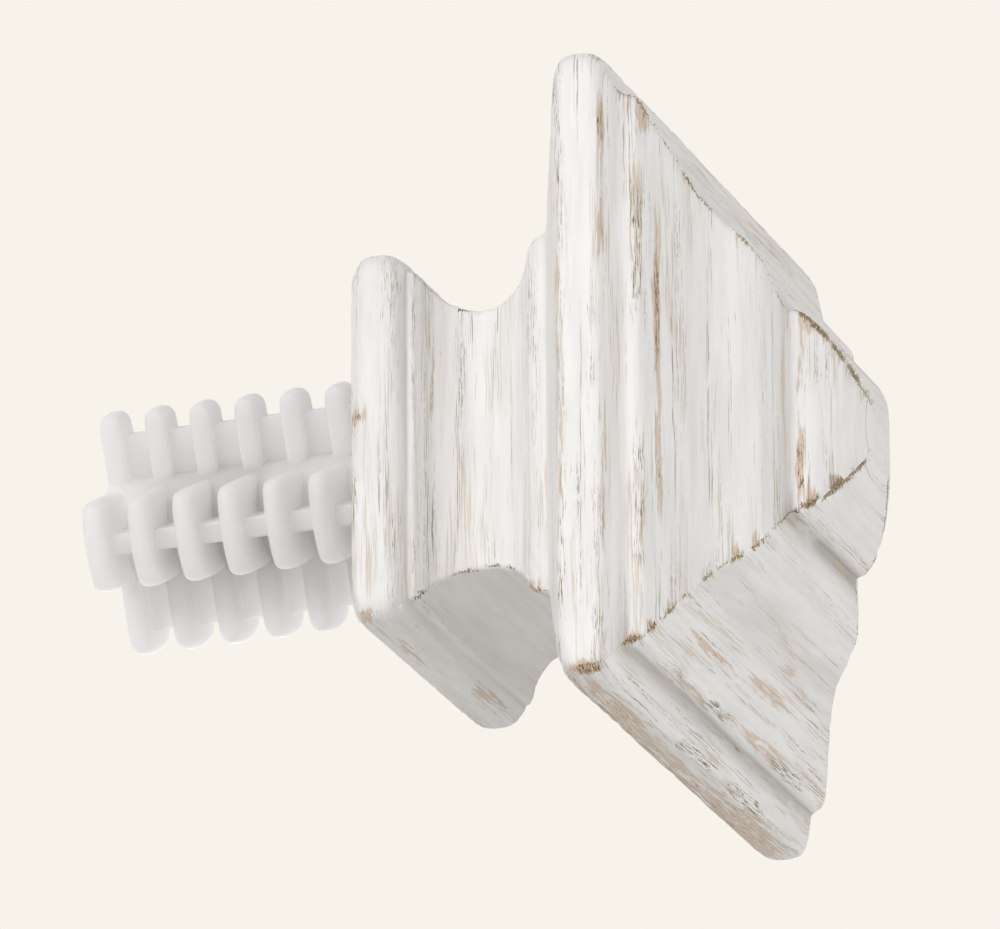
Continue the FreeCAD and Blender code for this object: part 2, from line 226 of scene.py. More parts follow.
def softened(line, spread):
    """Each point becomes the Gaussian average of its neighbours within about `spread` mm.

    Past either end the line goes on as its own mirror image in the axis, so its ends stay on the axis.
    """
    reach = round(SPREADS_KEPT * spread / OUTLINE_STEP)
    weights = np.exp(-0.5 * (np.arange(-reach, reach + 1) * OUTLINE_STEP / spread) ** 2)
    mirror = np.array([1, -1])
    padded = np.concatenate([line[reach:0:-1] * mirror, line, line[-2:-reach - 2:-1] * mirror])
    weights /= weights.sum()
    return np.stack([np.convolve(padded[:, axis], weights, "valid") for axis in (0, 1)], axis=1)


profile = softened(outline, EDGE_SPREAD)
tip_shoulder = np.exp(-((outline[:, :1] - SHOULDER_X) / SHOULDER_REACH) ** 2)
profile += tip_shoulder * (softened(outline, SHOULDER_SPREAD) - profile)
corner_profile = softened(outline, CORNER_SPREAD)
slope = np.gradient(profile, axis=0)
slope /= np.linalg.norm(slope, axis=1, keepdims=True)
normals = np.stack([-slope[:, 1], slope[:, 0]], axis=1)
edge_height = np.sum((profile - softened(outline, RUB_SPREAD)) * normals, axis=1)
hollow_depth = np.sum((softened(outline, HOLLOW_SPREAD) - profile) * normals, axis=1)
print("edges stand", round(edge_height.max(), 3), "mm proud, hollows", round(hollow_depth.max(), 3), "deep")

# %% Choose the stations
STATIONS = 372
BORE_CROWDING = 0.35
TURN_CROWDING = 3.0
MOST_TURNING = 1.2
turning = np.linalg.norm(np.gradient(slope, axis=0), axis=1) / OUTLINE_STEP
outer_crowding = 1 + TURN_CROWDING * np.minimum(turning, MOST_TURNING)
crowding = np.where(outline_distance < bore_length, BORE_CROWDING, outer_crowding)
share = np.concatenate([[0], np.cumsum((crowding[1:] + crowding[:-1]) / 2)])
picks = np.interp(np.linspace(0, share[-1], STATIONS), share, np.arange(len(share)))


def at_stations(values):
    """The values of the fine outline at the chosen stations."""
    return np.interp(picks, np.arange(len(values)), values)


station_x, station_half = at_stations(profile[:, 0]), at_stations(profile[:, 1])
corner_x, corner_half = at_stations(corner_profile[:, 0]), at_stations(corner_profile[:, 1])
station_half[[0, -1]] = corner_half[[0, -1]] = 0.0
station_length = at_stations(outline_distance)
station_edge = at_stations(edge_height)
station_hollow = at_stations(hollow_depth)
in_bore = station_length < bore_length
print(STATIONS, "stations,", int(in_bore.sum()), "of them in the bore")

# %% [markdown]
# ## Square rings with rounded corners
# Every section of the head is a square, and along its four corners the mouldings meet in mitres. On the real
# casting the mitres are rounded too. A point of a square is drawn in towards a smaller square until it is one
# corner radius away from it, which rounds the corners and leaves the sides flat. With the radius as large as
# the half width the same rule gives a circle, so it draws the bores as well. Towards the corners the rings
# change over to an outline that is softened much more, because an outer corner loses its edges first. That
# goes for the block and the flange, while the hollow and the nose have kept their crisp mitres. Those of the
# tip are crisp at its shoulder and rubbed round towards its top, most of all the lower near one.

# %% Choose the radius of the corners
SIDES = 4
QUARTER_TURN = math.pi / 2
SIDE_COLUMNS = 60
# How far the columns crowd towards the corners: 0 not at all, 1 like the points of a half circle
COLUMN_CROWDING = 0.8
BLOCK_CORNER_RADIUS = 2.0
# Along the axis (mm): the radius of the corners, and how far they take the softer outline.
CORNER_PLACES = [5.0, 6.0, 24.5, 25.6, 30.6, 31.5, 33.5, 36.0]
CORNER_RADII = [BLOCK_CORNER_RADIUS, 0.6, 0.6, 1.75, 1.75, 1.2, 1.2, 0.7]
CORNER_SOFTNESS = [1.0, 0.3, 0.3, 1.0, 1.0, 0.6, 0.6, 0.1]
# The back face goes from the round socket to the square block
BACK_END = 17.0
BACK_THICKNESS = 0.01
# Along the axis (mm), how much rounder the lower near mitre of the tip is rubbed. The upper far one is not.
TIP_ROUNDED = [44.5, 48.0], [0.0, 3.4]
# The side that each column is on, in quarter turns from +y, and where it starts and ends across it
turn = np.repeat(np.arange(SIDES), SIDE_COLUMNS)
even_steps = np.linspace(-1, 1, SIDE_COLUMNS + 1)
crowded = COLUMN_CROWDING * np.sin(even_steps * QUARTER_TURN) + (1 - COLUMN_CROWDING) * even_steps
across_start = np.tile(crowded[:-1], SIDES)
across_end = np.tile(crowded[1:], SIDES)
on_back = (station_x < BACK_THICKNESS) & (station_half < BACK_END)
back_radius = np.interp(station_half, [SOCKET_RADIUS, BACK_END], [SOCKET_RADIUS, BLOCK_CORNER_RADIUS])
front_radius = np.interp(station_x, CORNER_PLACES, CORNER_RADII)
station_radius = np.select([in_bore, on_back], [station_half, back_radius], front_radius)
station_radius = np.minimum(station_radius, station_half)
# 1 in the lower near corner and 0 in the upper far one
column_angle = turn * QUARTER_TURN + np.arctan(across_start)
low_and_near = 0.5 - (np.cos(column_angle) + np.sin(column_angle)) / math.sqrt(8)
corner_radius = station_radius[:, None] + np.interp(station_x, *TIP_ROUNDED)[:, None] * low_and_near
print("corner radius up to", round(corner_radius[~in_bore].max(), 2), "mm")

# %% Make the square rings
CORNER_REACH = 2.4


def square_rings(across, x, half):
    """Points of the rounded squares, q + r (p - q) / |p - q|.

    Here p lies on the square, q is the point of the inner square nearest to it, and r is the corner radius.
    """
    half = half[:, None]
    radius = np.minimum(corner_radius, half)
    inner = half - radius
    side = half * across[None, :]
    nearest = np.clip(side, -inner, inner)
    reach = np.hypot(radius, side - nearest)
    stretch = np.where(reach > 0, radius / np.maximum(reach, TINY), 0.0)
    outwards = inner + radius * stretch
    sideways = nearest + (side - nearest) * stretch
    angle = turn[None, :] * QUARTER_TURN
    y = outwards * np.cos(angle) - sideways * np.sin(angle)
    z = outwards * np.sin(angle) + sideways * np.cos(angle)
    return np.stack([np.broadcast_to(x[:, None], y.shape), y, z], axis=-1)


corner_distance = station_half[:, None] * (1 - np.abs(across_start))[None, :]
softness = np.where(in_bore, 0.0, np.interp(station_x, CORNER_PLACES, CORNER_SOFTNESS))
near_corner = (softness[:, None] * np.exp(-(corner_distance / CORNER_REACH) ** 2))[..., None]
rings = square_rings(across_start, station_x, station_half) * (1 - near_corner)
rings += square_rings(across_start, corner_x, corner_half) * near_corner
rings[0], rings[-1] = rings[0, 0], rings[-1, 0]
print("rings:", rings.shape[:2], "widest", round(np.ptp(rings[..., 1]), 2), "mm")

# %% [markdown]
# ## Hand-made unevenness
# The head was cast from a carved pattern, sanded and painted by hand, so its faces waver by a few hundredths
# of a millimetre and its edges are nibbled. A few dozen long waves in random directions, added up, make such
# a soft unevenness. It only ever takes material away, so the piece stays inside the box of its solid.

# %% Wear the surface down a little
# How deep the faces waver and the edges are nibbled (mm)
FACE_WAVER = 0.05
EDGE_NIBBLE = 0.16
# The shortest and the longest wave (mm), and how many there are
FACE_WAVES = 5.0, 22.0, 24
EDGE_WAVES = 0.9, 3.2, 40
# How far an edge stands proud where it wears fully, and how far the wear of a mitre reaches (mm)
FULL_EDGE = 0.10
MITRE_REACH = 1.0
# Any number does, as long as it stays the same from run to run
SEED = 7
generator = np.random.default_rng(SEED)


def wavering(points, shortest, longest, count):
    """Many sine waves in random directions, with wave lengths between two sizes, summed to about -1 to 1."""
    directions = generator.normal(size=(count, 3))
    directions /= np.linalg.norm(directions, axis=1, keepdims=True)
    lengths = np.exp(generator.uniform(math.log(shortest), math.log(longest), count))
    phases = generator.uniform(0, 2 * math.pi, count)
    waves = np.sin(points @ (directions * (2 * math.pi / lengths)[:, None]).T + phases)
    return waves.sum(axis=-1) / math.sqrt(count / 2) / 2


def ring_normals(points):
    """Unit normals of rings: along the ring, crossed with along the stations."""
    around = np.roll(points, -1, axis=1) - np.roll(points, 1, axis=1)
    forwards = np.gradient(points, axis=0)
    normal = np.cross(around, forwards)
    return normal / np.maximum(np.linalg.norm(normal, axis=-1, keepdims=True), TINY)


mitre = np.exp(-(corner_distance / MITRE_REACH) ** 2)
arris = np.clip(station_edge / FULL_EDGE, 0, 1)[:, None] * np.ones_like(mitre)
crease = np.clip(-station_edge / FULL_EDGE, 0, 1)[:, None]
edges = np.maximum(arris, mitre * (1 - crease))
outside = np.where(in_bore, 0.0, 1.0)[:, None]
waver = np.clip(wavering(rings, *FACE_WAVES), -1, 1)
nibble = np.clip(wavering(rings, *EDGE_WAVES), 0, 1)
worn = (FACE_WAVER * (waver - 1) / 2 - EDGE_NIBBLE * edges * nibble) * outside
head_rings = rings + ring_normals(rings) * worn[..., None]
head_rings[0], head_rings[-1] = head_rings[0, 0], head_rings[-1, 0]
print("worn by up to", round(-worn.min(), 3), "mm")

# %% [markdown]
# ## Where the paint is rubbed through
# After the white coat dries the painter rubs it back. The brown coat shows first on edges and mitres and in
# some patches, most of all along the lower edge of the flange. A value from 0 to 1 on every point, stored as
# an attribute of the mesh, tells the finish how far the white is gone there.

# %% Name the rubbed places
# Centre (mm), reach along x, y and z (mm), and how far the white is rubbed away.
RUBBED_PATCHES = [
    ((28.8, -31.0, -31.3), (2.2, 1.2, 0.8), 1.00),  # lower near corner of the flange
    ((27.4, -19.0, -31.7), (2.4, 12.0, 1.8), 0.74),  # lower side of the flange
    ((27.0, 0.0, -31.7), (2.0, 16.0, 1.8), 0.70),
    ((27.6, 18.0, -31.7), (2.6, 15.0, 1.8), 0.74),
    ((32.3, -28.0, -27.9), (1.2, 0.7, 0.8), 1.00),  # lower near foot of the panel
    ((33.7, -26.5, -26.2), (0.8, 0.9, 0.8), 0.95),  # lower near mitre
    ((34.9, -24.2, -23.8), (0.9, 0.9, 0.9), 0.80),
    ((37.2, -19.6, -19.2), (1.2, 1.0, 1.0), 0.62),
    ((39.2, -17.0, -16.6), (0.9, 0.7, 1.0), 0.85),
    ((40.6, -15.5, -14.9), (0.7, 0.7, 1.3), 0.75),
    ((33.6, -27.0, 26.0), (1.1, 1.3, 2.4), 0.80),  # upper near mitre
    ((36.0, -21.0, 21.0), (1.5, 1.1, 1.1), 0.60),
    ((40.2, -16.2, 16.0), (1.2, 1.0, 1.0), 0.60),
    ((43.6, -10.4, -5.5), (0.6, 0.6, 5.0), 0.90),  # shoulder of the tip
    ((43.8, -10.4, 5.0), (0.5, 0.6, 5.0), 0.62),
    ((46.2, -7.4, -6.8), (1.2, 1.4, 1.0), 0.86),  # lower mitre of the tip
    ((44.4, -9.9, -9.0), (0.9, 0.9, 1.6), 0.78),
    ((44.3, -9.9, 9.2), (1.2, 0.9, 1.4), 0.82),  # upper mitre of the tip
    ((45.5, -8.6, 8.6), (1.6, 1.5, 1.5), 0.62),
    ((46.6, -6.8, 6.8), (1.6, 1.5, 1.5), 0.58),
    ((47.5, -5.0, 5.0), (1.6, 1.5, 1.5), 0.60),
    ((48.2, -3.0, 3.0), (1.6, 1.5, 1.5), 0.56),
    ((30.6, -30.8, 24.0), (0.7, 0.8, 3.2), 0.90),  # front edge of the flange
    ((30.6, -30.8, 13.0), (0.7, 0.8, 4.0), 0.75),
    ((30.6, -30.8, -10.0), (0.7, 0.8, 9.0), 0.55),
    ((33.1, -27.8, 14.0), (0.8, 0.9, 10.0), 0.55),  # rolled edge of the panel
    ((33.1, -27.8, -12.0), (0.8, 0.9, 10.0), 0.48),
    ((18.8, -17.9, -17.7), (1.6, 1.0, 1.0), 0.75),  # lower near corner of the bead
    ((19.6, 6.0, -18.2), (1.3, 11.0, 0.9), 0.62),  # lower side of the bead
    ((34.3, -25.6, 6.0), (0.35, 0.8, 11.0), 0.98),  # streak down the panel
    ((34.3, -25.5, -9.0), (0.3, 0.7, 9.0), 0.80),
    ((34.8, -12.0, -24.2), (1.2, 8.5, 0.8), 0.72),  # lower slope of the panel
    ((35.2, 3.5, -23.4), (1.2, 9.0, 0.8), 0.66),
    ((33.2, 8.0, -27.6), (1.0, 12.0, 0.9), 0.66),
    ((32.6, -14.0, -28.0), (1.0, 8.0, 0.9), 0.62),
    ((36.4, 6.0, -20.6), (1.2, 10.0, 0.9), 0.45),
    ((0.9, -18.9, 1.8), (1.0, 0.8, 1.0), 0.95),  # near side of the block
    ((1.5, -18.2, -18.6), (1.3, 1.6, 0.9), 0.75),  # lower side of the block
    ((2.6, -8.0, -18.9), (1.3, 4.2, 0.8), 0.60),
    ((4.4, 9.0, -18.6), (1.2, 5.5, 0.8), 0.65),
    ((26.3, -31.6, 0.0), (0.6, 0.7, 26.0), 0.52),  # back edge of the flange
]
# Places where the white coat went on full and shows few brush lines: centre, reach and how much is covered.
FULL_COAT = [
    ((40.3, -15.8, 0.0), (1.4, 1.6, 11.0), 1.0),  # near side of the nose
    ((47.0, -5.5, 0.0), (1.6, 3.0, 4.5), 1.0),  # near side of the tip
    ((40.0, 0.0, -16.5), (3.5, 14.0, 3.5), 0.8),  # lower side of the hollow and the nose
    ((46.0, 0.0, -8.0), (2.5, 8.0, 4.0), 0.7),  # lower side of the tip
    ((48.8, 0.0, 0.0), (1.2, 4.5, 4.5), 1.0),  # top of the tip
    ((12.0, 0.0, -15.0), (7.0, 18.0, 4.0), 1.0),  # lower side of the cove
    ((4.0, 0.0, -18.2), (4.0, 19.0, 3.0), 1.0),  # lower side of the block
    ((3.0, -19.0, 3.0), (2.0, 2.0, 9.0), 0.5),  # near side of the block
    ((5.2, -17.6, 9.0), (1.6, 2.0, 7.0), 0.8),  # near shoulder of the block
    ((17.5, -17.6, -4.0), (2.0, 3.0, 9.0), 0.5),  # near side of the bead
    ((14.5, -14.0, -8.0), (3.0, 3.0, 5.0), 0.7),  # near side of the cove
    ((28.0, -31.7, 14.0), (1.4, 2.0, 7.0), 0.6),  # near side of the flange
]
print(len(RUBBED_PATCHES), "rubbed places and", len(FULL_COAT), "full ones")

# %% Mark the rubbed places
PATCH_PEAK = 1.3
# The far sides repeat the wear of the near ones, more faintly, and fade in over some millimetres
ECHO = 0.7
ECHO_FADE = 12.0


def patches(points, spots):
    """The largest of some soft blobs: strength times 1.3 exp(-d^2), cut off at 1, with d in reaches."""
    result = np.zeros(points.shape[:-1])
    for centre, reach, strength in spots:
        squares = np.sum(((points - np.array(centre)) / np.array(reach)) ** 2, axis=-1)
        result = np.maximum(result, strength * np.minimum(1, PATCH_PEAK * np.exp(-squares)))
    return result


ring_x, ring_y, ring_z = np.moveaxis(rings, -1, 0)
turned_rings = [np.stack([ring_x, y, z], axis=-1) for y, z in ((-ring_y, -ring_z), (-ring_z, ring_y))]
echoed = np.max([patches(turned, RUBBED_PATCHES) for turned in turned_rings], axis=0)
on_far_sides = np.clip((ring_y + ring_z) / ECHO_FADE, 0, 1)
rub = np.maximum(patches(rings, RUBBED_PATCHES), ECHO * echoed * on_far_sides)
full_coat = patches(rings, FULL_COAT)
print("rubbed through on", round(100 * float((rub > 0.5).mean()), 1), "% of the points")

# %% Mark the painted shade in the creases, and the mitres
# Along the axis (mm), the painted shade in the creases on every side. The lower front gets more of it.
CREASE_SHADE_PLACES = [7.0, 8.0, 30.5, 31.0, 41.5, 42.0]
CREASE_SHADE = [0.3, 0.0, 0.0, 0.15, 0.1, 0.3]
# More painted shade on the lower sides in front, where shade falls
LOWER_SHADE = 0.55
LOWER_SHARPNESS = 6
IN_FRONT = [30.5, 31.0], [0.0, 1.0]
# How deep a hollow is where its painted shade is full (mm)
FULL_HOLLOW = 0.3
# Along the axis (mm), how wide the worn line on the mitres is.
MITRE_LINE = [43.0, 44.5], [0.6, 1.0]
# Along the axis (mm), how much the mitres are worn: less on the thumb-round corners of block and flange,
# and hardly at all on the top of the dome, where they run out.
MITRE_PLACES = [5.0, 6.5, 24.0, 26.0, 30.5, 31.5, 42.0, 44.0, 47.8, 48.6]
MITRE_WEAR = [0.4, 1.0, 1.0, 0.4, 0.4, 1.0, 1.0, 1.4, 1.4, 0.2]
lower = np.clip(-ring_z / np.maximum(station_half, TINY)[:, None], 0, 1) ** LOWER_SHARPNESS
lower_shade = LOWER_SHADE * lower * np.interp(station_x, *IN_FRONT)[:, None]
shade_share = np.clip(np.interp(station_x, CREASE_SHADE_PLACES, CREASE_SHADE)[:, None] + lower_shade, 0, 1)
# Painted shade in the hollows: grey where the creases would lie in shade
shaded_creases = np.clip(station_hollow / FULL_HOLLOW, 0, 1)[:, None] * shade_share
mitre_width = np.interp(station_x, *MITRE_LINE)[:, None]
mitre_wear = np.interp(station_x, MITRE_PLACES, MITRE_WEAR)[:, None]
mitre_line = np.exp(-(corner_distance / mitre_width) ** 2) * mitre_wear
# The share of points whose creases get painted shade
print("wax on", round(100 * float((shaded_creases > 0.1).mean()), 1), "% of the points")

# %% Skin the head
# Each side has its own part of the UV map, this far from the next (mm)
SIDE_APART = 150.0
brush = np.empty(rings.shape[:2] + (2, 2))
for place, across in enumerate((across_start, across_end)):
    brush[..., place, 0] = station_half[:, None] * across[None, :] + SIDE_APART * (turn + 1)[None, :]
    brush[..., place, 1] = station_length[:, None]
head, kept = skin_rings("painted_head", head_rings, brush)
# The crease mark carries the painted shade of the creases
marks = {"rub": rub, "edge": arris, "crease": shaded_creases, "mitre": mitre_line, "full": full_coat}
for name, values in marks.items():
    attribute = head.data.attributes.new(name, "FLOAT", "POINT")
    attribute.data.foreach_set("value", (values * outside).reshape(-1)[kept].astype(np.float32))
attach(head, "root")
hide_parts("finial_head")

# %% [markdown]
# ## The ribbed plug
# The plug is moulded in milky polyethylene: a round core, four webs and six ribs. Each rib has four rounded
# lobes, so it can give when it is pressed into the pole. Seen along the axis every section is a star with one
# radius for each angle, so the whole plug is one surface: a radius that depends on the angle and the station.

# %% Work out the plug's sections
PLUG_RADIUS = 12.2
PLUG_TURN = math.radians(26.5)
PLUG_COLUMNS = 360
SIDE_LOBE_HALF = 4.6
TOP_LOBE_HALF = 2.3
BOTTOM_LOBE_HALF = 3.6
CORE_RADIUS = 5.5
WEB_RADIUS = 9.9
WEB_HALF = 1.05
LOBE_SHARPNESS = 14.0
WEB_SHARPNESS = 40.0
angles = np.linspace(0, 2 * math.pi, PLUG_COLUMNS, endpoint=False)
sine = np.abs(np.sin(angles)) + TINY
cosine = np.abs(np.cos(angles)) + TINY


def blunt_bar(sharpness, side, end):
    """A bar with rounded corners, as a radius for each angle, from the distances of its sides and its end.

    It is their soft minimum: the sum of their powers -k, to the power -1/k.
    """
    return (side ** -sharpness + np.full_like(side, end) ** -sharpness) ** (-1 / sharpness)


side_lobes = blunt_bar(LOBE_SHARPNESS, SIDE_LOBE_HALF / sine, PLUG_RADIUS)
edge_half = np.where(np.sin(angles) > 0, TOP_LOBE_HALF, BOTTOM_LOBE_HALF)
edge_lobes = blunt_bar(LOBE_SHARPNESS, edge_half / cosine, PLUG_RADIUS)
rib_radius = np.maximum(side_lobes, edge_lobes)
side_webs = blunt_bar(WEB_SHARPNESS, WEB_HALF / sine, WEB_RADIUS)
edge_webs = blunt_bar(WEB_SHARPNESS, WEB_HALF / cosine, WEB_RADIUS)
stem_radius = np.maximum(np.maximum(side_webs, edge_webs), CORE_RADIUS)
print("rib radius from", round(rib_radius.min(), 2), "to", round(rib_radius.max(), 2), "mm")

# %% Skin the plug
PLUG_LENGTH = 30.7
RIBS = 6
RIB_PITCH = 4.76
RIB_HALF = 1.0
RIM_STEPS = 13
WEB_SETBACK = 2.6
SPIGOT = 6.0
RECESS_RADIUS = 3.9
RECESS_DEPTH = 16.0
SHARP_FROM = math.radians(38)
# Every row is a place along the axis and its radii. From the spigot's end they run back through the screw
# hole and the recess, then forwards over the ribs, and the last row joins the first.
core = np.full(PLUG_COLUMNS, CORE_RADIUS)
seat = RECESS_DEPTH - PLUG_LENGTH
bores = (SPIGOT, SCREW_HOLE), (seat, SCREW_HOLE), (seat, RECESS_RADIUS), (-PLUG_LENGTH, RECESS_RADIUS)
plug_rows = [(x, np.full(PLUG_COLUMNS, radius)) for x, radius in bores]
for number in range(RIBS):
    rib_middle = -PLUG_LENGTH + RIB_HALF + number * RIB_PITCH
    if number > 0:
        plug_rows.append((rib_middle - RIB_HALF, stem_radius))
    for angle in np.linspace(-QUARTER_TURN, QUARTER_TURN, RIM_STEPS):
        rounding = RIB_HALF * (1 - math.cos(angle))
        foot = core if number == 0 and angle < 0 else stem_radius
        plug_rows.append((rib_middle + RIB_HALF * math.sin(angle), np.maximum(rib_radius - rounding, foot)))
    plug_rows.append((rib_middle + RIB_HALF, stem_radius))
plug_rows += [(-WEB_SETBACK, stem_radius), (-WEB_SETBACK, core), (SPIGOT, core)]
plug_x = np.array([row[0] for row in plug_rows])
plug_radii = np.array([row[1] for row in plug_rows])
plug_rings = np.stack([
    np.broadcast_to(plug_x[:, None], plug_radii.shape),
    plug_radii * np.cos(angles + PLUG_TURN),
    plug_radii * np.sin(angles + PLUG_TURN)], axis=-1)
plug, _ = skin_rings("ribbed_plug", plug_rings)
plug.data.set_sharp_from_angle(angle=SHARP_FROM)
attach(plug, "root")
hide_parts("pole_plug")

# %% [markdown]
# ## Building materials
# A material is a small graph of nodes. One helper adds a node, applies its settings and fills or links its
# inputs. Colours are written as they look on a screen, and one function turns them to the linear light
# that the renderer works with.

# %% Material helpers


def linear(colour):
    """An sRGB hex colour as linear red, green, blue and alpha."""
    shown = np.array([int(colour[place:place + 2], 16) for place in (1, 3, 5)]) / 255
    light = np.where(shown <= 0.04045, shown / 12.92, ((shown + 0.055) / 1.055) ** 2.4)
    return (*light.tolist(), 1.0)


def add_node(tree, kind, inputs=None, **settings):
    """Add a node with its settings. An input is linked to a socket or a node's first output, or is set."""
    node = tree.nodes.new(kind)
    for name, value in settings.items():
        setattr(node, name, value)
    for socket, value in (inputs or {}).items():
        if isinstance(value, bpy.types.Node):
            value = value.outputs[0]
        if isinstance(value, bpy.types.NodeSocket):
            tree.links.new(value, node.inputs[socket])
        else:
            node.inputs[socket].default_value = value
    return node


def empty_graph(owner):
    """The graph of a material or a world, with nothing in it."""
    owner.use_nodes = True
    owner.node_tree.nodes.clear()
    return owner.node_tree


print("half grey is", round(linear("#808080")[0], 3), "in linear light")

# %% [markdown]
# ## Brushed white over brown
# The resin got a brown coat first, then white paint laid on with a nearly dry brush along each moulding,
# then a rub with a cloth. The creases get a grey painted shade. The eye sees a warm white with hair-fine
# broken streaks of grey and brown that all run along the moulding, tan patches where the brush skipped, and
# brown edges. Noise that is stretched along the brush and thresholded gives the streaks. It reads the UV map
# that runs along and across each moulding. No hand draws a straight line, so a second noise lets the strokes
# stray sideways by some tenths of a millimetre on their way.

# %% Lay out the brush strokes
# How long and wide a bend is (mm), and how far it shifts a stroke along and across (mm)
STRAY_LENGTH = 6.0
STRAY_WIDTH = 2.0
STRAY_DETAIL = 3.0
STRAY = (1.2, 0.4, 0.0)
GRAIN_ROUGHNESS = 0.6
SHIFT_ACROSS = 0.37
paint = bpy.data.materials.new("brushed_white_over_brown_resin")
tree = empty_graph(paint)
brush_map = add_node(tree, "ShaderNodeUVMap", uv_map="brush")
bends = add_node(tree, "ShaderNodeMapping", {
    "Vector": brush_map, "Scale": (1 / STRAY_LENGTH, 1 / STRAY_WIDTH, 1)})
stray = add_node(tree, "ShaderNodeTexNoise", {
    "Vector": bends, "Scale": 1.0, "Detail": STRAY_DETAIL}, noise_dimensions="2D")
along_brush = add_node(tree, "ShaderNodeVectorMath", {
    0: stray.outputs["Color"], 1: STRAY, 2: brush_map}, operation="MULTIPLY_ADD")


def streaks(length, width, detail, shift, low, high, wear=0.0, bite=0.0):
    """A mask of streaks about `length` mm along the brush and `width` mm across.

    Noise on the brush map, drawn out to that size, is raised by the wear times its bite and then stepped
    smoothly from 0 at `low` to 1 at `high`. So the streaks merge where the wear is strong.
    """
    place = add_node(tree, "ShaderNodeMapping", {
        "Vector": along_brush,
        "Location": (shift, shift * SHIFT_ACROSS, 0),
        "Scale": (1 / length, 1 / width, 1)})
    grain = add_node(tree, "ShaderNodeTexNoise", {
        "Vector": place, "Scale": 1.0, "Detail": detail, "Roughness": GRAIN_ROUGHNESS}, noise_dimensions="2D")
    raised = add_node(tree, "ShaderNodeMath", {0: wear, 1: bite, 2: grain}, operation="MULTIPLY_ADD")
    return add_node(tree, "ShaderNodeMapRange", {
        "Value": raised, "From Min": low, "From Max": high}, interpolation_type="SMOOTHSTEP")


print("strokes stray by up to", STRAY[1], "mm")

# %% Make the streaks
# Each kind of streak: length and width (mm), detail, shift, and the noise where it starts and is full.
# A real brush hair leaves lines under 0.1 mm wide. They are drawn a little wider, so that they show.
STREAKS = {
    "hair_strokes": (9.0, 0.13, 1.0, 3.1, 0.57, 0.66),
    "hair_clusters": (30.0, 2.4, 2.0, 11.7, 0.53, 0.67),
    "hair_breaks": (0.8, 0.13, 1.0, 5.3, 0.36, 0.56),
    "line_strokes": (26.0, 0.15, 1.0, 21.0, 0.58, 0.66),
    "line_clusters": (36.0, 1.6, 1.0, 51.0, 0.55, 0.65),
    "line_breaks": (3.5, 0.15, 3.0, 25.0, 0.40, 0.56),
    "skip_strokes": (9.0, 0.2, 3.0, 8.8, 0.48, 0.62),
    "skip_places": (24.0, 2.2, 1.0, 2.2, 0.55, 0.68),
    "edge_places": (16.0, 6.0, 2.0, 6.1, 0.44, 0.62),
    "mitre_places": (4.0, 3.0, 2.0, 77.0, 0.48, 0.62),
    "speck_spots": (0.6, 0.16, 2.0, 17.0, 0.52, 0.60),
    # Breaks up the painted shade in the creases
    "shade_breaks": (12.0, 3.0, 3.0, 91.0, 0.10, 0.55),
    "brown_tone": (6.0, 2.0, 2.0, 61.0, 0.40, 0.62),
    "wash": (14.0, 1.6, 3.0, 40.0, 0.35, 0.70),
}
# The same, and then the mark on the mesh that wears the white through there and how hard it bites.
WORN_STREAKS = {
    "rub_wash": (5.0, 0.4, 5.0, 14.0, 0.74, 0.86, "rub", 0.50),
    "rub_deep": (1.6, 0.16, 3.0, 33.0, 1.18, 1.30, "rub", 0.80),
    "edge_streaks": (3.0, 0.14, 2.0, 30.5, 0.76, 0.84, "edge", 0.24),
    "mitre_streaks": (0.7, 0.2, 2.0, 71.0, 0.78, 0.90, "mitre", 0.40),
    # Tan lines along the creases, placed by the same mark as their painted shade
    "crease_line": (9.0, 0.25, 3.0, 81.0, 0.72, 0.80, "crease", 0.20),
}
masks = {name: add_node(tree, "ShaderNodeAttribute", attribute_name=name).outputs["Fac"] for name in marks}
for name, measures in STREAKS.items():
    masks[name] = streaks(*measures)
for name, (*measures, wear, bite) in WORN_STREAKS.items():
    masks[name] = streaks(*measures, masks[wear], bite)
print(len(STREAKS) + len(WORN_STREAKS), "kinds of streak")

# %% Put the streaks together
# Where the rub is as strong as this, the mitres wear everywhere
RUB_STARTS = 0.3
RUB_IS_FULL = 0.6
masks["well_rubbed"] = add_node(tree, "ShaderNodeMapRange", {
    "Value": masks["rub"], "From Min": RUB_STARTS, "From Max": RUB_IS_FULL}, interpolation_type="SMOOTHSTEP")
masks["everywhere"] = 1.0
masks["hair_share"] = 0.75
# Each new mask: how it is worked out, and the masks it takes, in order.
MIXTURES = {
    "uncovered": ("SUBTRACT", "everywhere", "full"),
    "fine_hairs": ("MULTIPLY", "hair_strokes", "hair_clusters", "hair_breaks", "hair_share"),
    "long_lines": ("MULTIPLY", "line_strokes", "line_clusters", "line_breaks"),
    "all_lines": ("MAXIMUM", "fine_hairs", "long_lines"),
    "hairs": ("MULTIPLY", "all_lines", "uncovered"),
    "skips": ("MULTIPLY", "skip_strokes", "skip_places", "uncovered"),
    "edge_wear": ("MULTIPLY", "edge_streaks", "edge_places", "uncovered"),
    "worn_mitres": ("MAXIMUM", "mitre_places", "well_rubbed"),
    "mitre_wear": ("MULTIPLY", "mitre_streaks", "worn_mitres"),
    "worn_most": ("MAXIMUM", "rub_deep", "edge_wear", "mitre_wear"),
    "specks": ("MULTIPLY", "speck_spots", "worn_most"),
    # Painted shade in the creases
    "painted_crease_shade": ("MULTIPLY", "crease", "shade_breaks"),
    "white_gone": ("MAXIMUM", "hairs", "skips", "rub_wash", "rub_deep"),
    "height": ("SUBTRACT", "wash", "white_gone"),
}
